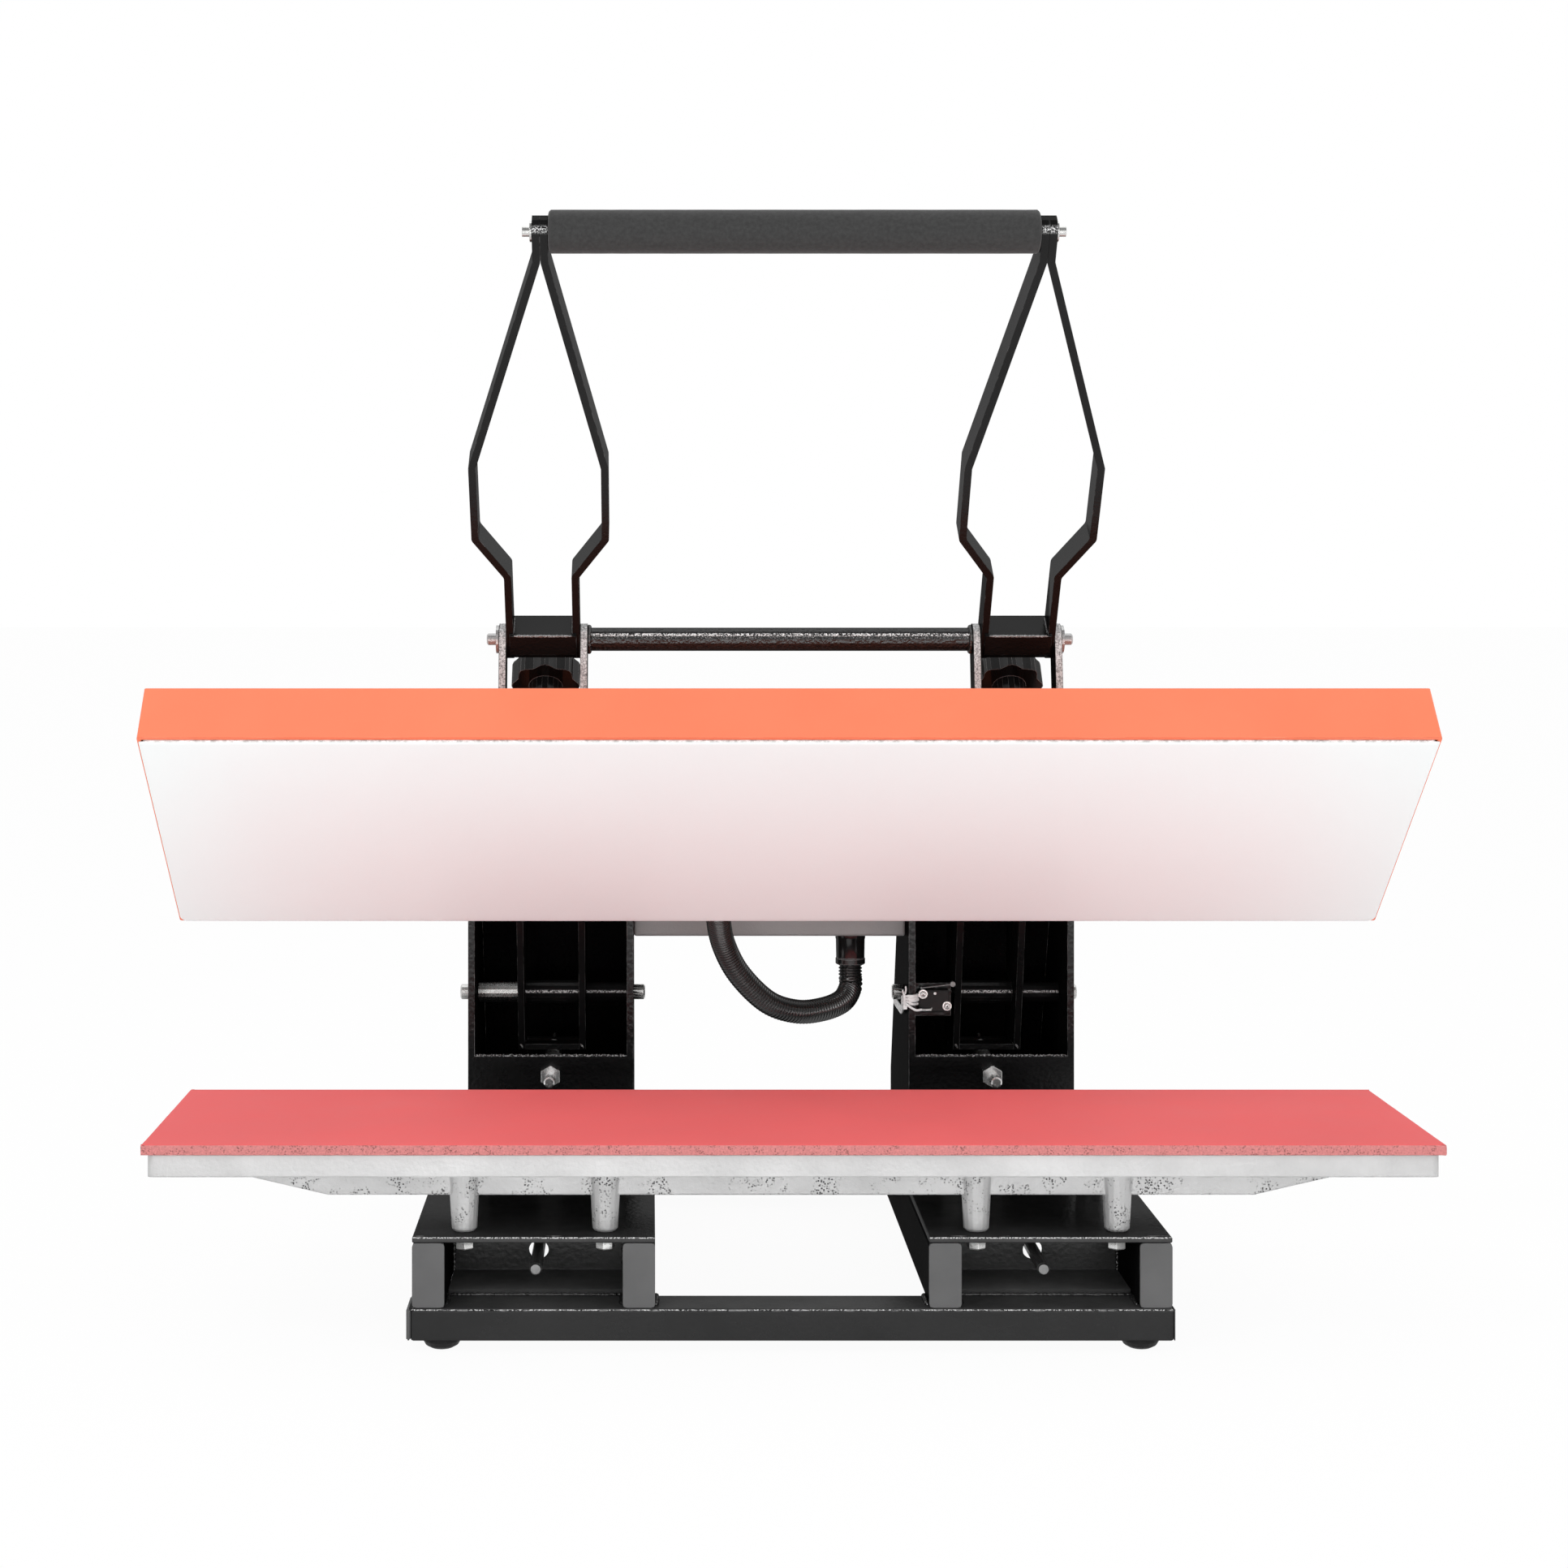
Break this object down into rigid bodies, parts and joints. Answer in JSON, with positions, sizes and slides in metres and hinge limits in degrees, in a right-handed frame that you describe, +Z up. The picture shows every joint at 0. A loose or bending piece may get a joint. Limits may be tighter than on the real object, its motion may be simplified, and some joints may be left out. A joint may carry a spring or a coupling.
{
  "type": "lanyard heat press",
  "caption": "Long narrow clamshell heat press: orange-covered upper platen raised over a padded cast lower platen, twin arms and uprights, bent lever handle, star knobs",
  "frame": {"origin": "on the bench at the middle of the bounding box's base", "axes": "+X along the platen to the operator's right, -Y towards the operator, +Z up"},
  "size_m": [1.03, 0.576, 0.8802],
  "materials": {
    "black_paint": "glossy black powder coat over welded steel",
    "orange_paint": "satin orange powder coat on folded sheet",
    "grey_paint": "fine textured grey paint",
    "grey_plastic": "matt moulded grey",
    "black_plastic": "moulded black",
    "white_coating": "aluminium plate with a pale non-stick coating",
    "cast_aluminium": "machined edge, rough cast underside",
    "zinc_steel": "bright zinc plate",
    "red_silicone": "matt silicone sponge",
    "black_foam": "fine closed-cell foam",
    "black_rubber": "matt rubber",
    "mineral_wool": "fibrous insulation"
  },
  "bodies": {
    "frame": {"front_crossbar": "black_paint", "rear_crossbar": "black_paint", "front_foot_left": "black_rubber", "front_foot_right": "black_rubber", "rear_foot_left": "black_rubber", "rear_foot_right": "black_rubber", "rail_left_inner": "black_paint", "rail_left_outer": "black_paint", "rail_right_inner": "black_paint", "rail_right_outer": "black_paint", "rail_plug_left_inner": "grey_plastic", "rail_plug_left_outer": "grey_plastic", "rail_plug_right_inner": "grey_plastic", "rail_plug_right_outer": "grey_plastic", "top_plate_left": "black_paint", "top_plate_right": "black_paint", "cross_wall_left": "black_paint", "cross_wall_right": "black_paint", "stop_rod_left": "black_paint", "stop_rod_right": "black_paint", "upright_left": "black_paint", "upright_right": "black_paint", "hinge_rod_left": "zinc_steel", "hinge_rod_right": "zinc_steel", "hook_bolt_left": "zinc_steel", "hook_bolt_right": "zinc_steel", "spring_left": "zinc_steel", "spring_right": "zinc_steel", "lower_platen": "cast_aluminium", "silicone_pad": "red_silicone", "control_box": "grey_paint", "control_panel": "grey_plastic", "power_inlet": "black_plastic", "hose": "black_plastic", "hose_sleeve": "black_plastic", "micro_switch": "black_plastic"},
    "arm": {"arm_left": "black_paint", "arm_right": "black_paint", "cross_tube": "black_paint", "pivot_pin_left": "zinc_steel", "pivot_pin_right": "zinc_steel"},
    "platen": {"platen_cover": "orange_paint", "heating_plate": "white_coating", "insulation": "mineral_wool", "pressure_beam": "black_paint", "hose_gland": "black_plastic"},
    "knob_left": {"star_knob_left": "black_plastic", "pressure_screw_left": "zinc_steel"},
    "knob_right": {"star_knob_right": "black_plastic", "pressure_screw_right": "zinc_steel"},
    "handle": {"handle_fork_left": "black_paint", "handle_fork_right": "black_paint", "grip_shaft": "zinc_steel", "foam_grip": "black_foam"},
    "button_1": {"button_1": "black_plastic"},
    "button_2": {"button_2": "black_plastic"},
    "button_3": {"button_3": "black_plastic"},
    "rocker": {"power_rocker": "black_plastic"},
    "switch_lever": {"switch_lever": "zinc_steel"}
  },
  "joints": [
    {"name": "arm_hinge", "type": "hinge", "parent": "frame", "child": "arm", "pos_m": [0, 0.16203, 0.2148], "axis": [1, 0, 0], "range_deg": [0, 41], "stiffness_Nm_per_rad": 60, "springref_deg": -91.67, "deforming": ["spring_left", "spring_right", "hose"]},
    {"name": "handle_pivot", "type": "hinge", "parent": "arm", "child": "handle", "pos_m": [0, -0.05038, 0.54692], "axis": [1, 0, 0], "range_deg": [0, 23]},
    {"name": "platen_slide", "type": "slide", "parent": "arm", "child": "platen", "axis": [0, 0.6561, 0.7547], "range_m": [0, 0.006]},
    {"name": "knob_left_turn", "type": "hinge", "parent": "platen", "child": "knob_left", "pos_m": [-0.2, -0.00928, 0.50549], "axis": [0, 0.6561, 0.7547], "range_deg": [0, 720]},
    {"name": "knob_right_turn", "type": "hinge", "parent": "platen", "child": "knob_right", "pos_m": [0.2, -0.00928, 0.50549], "axis": [0, 0.6561, 0.7547], "range_deg": [0, 720]},
    {"name": "button_1_press", "type": "slide", "parent": "frame", "child": "button_1", "axis": [0, 1, 0], "range_m": [0, 0.0015], "stiffness_N_per_m": 400, "springref_m": -0.001},
    {"name": "button_2_press", "type": "slide", "parent": "frame", "child": "button_2", "axis": [0, 1, 0], "range_m": [0, 0.0015], "stiffness_N_per_m": 400, "springref_m": -0.001},
    {"name": "button_3_press", "type": "slide", "parent": "frame", "child": "button_3", "axis": [0, 1, 0], "range_m": [0, 0.0015], "stiffness_N_per_m": 400, "springref_m": -0.001},
    {"name": "power_rock", "type": "hinge", "parent": "frame", "child": "rocker", "pos_m": [0.06, 0.13573, 0.3548], "axis": [-1, 0, 0], "range_deg": [0, 8]},
    {"name": "switch_lever_press", "type": "hinge", "parent": "frame", "child": "switch_lever", "pos_m": [0.1375, 0.11873, 0.2251], "axis": [0, 1, 0], "range_deg": [0, 5], "stiffness_Nm_per_rad": 0.05, "springref_deg": -5.73}
  ],
  "couplings": [
    {"joint": "handle_pivot", "follows": "arm_hinge", "ratio": 0.56098},
    {"joint": "knob_left_turn", "follows": "platen_slide", "rad_per_m": 2094.4},
    {"joint": "knob_right_turn", "follows": "platen_slide", "rad_per_m": 2094.4}
  ]
}
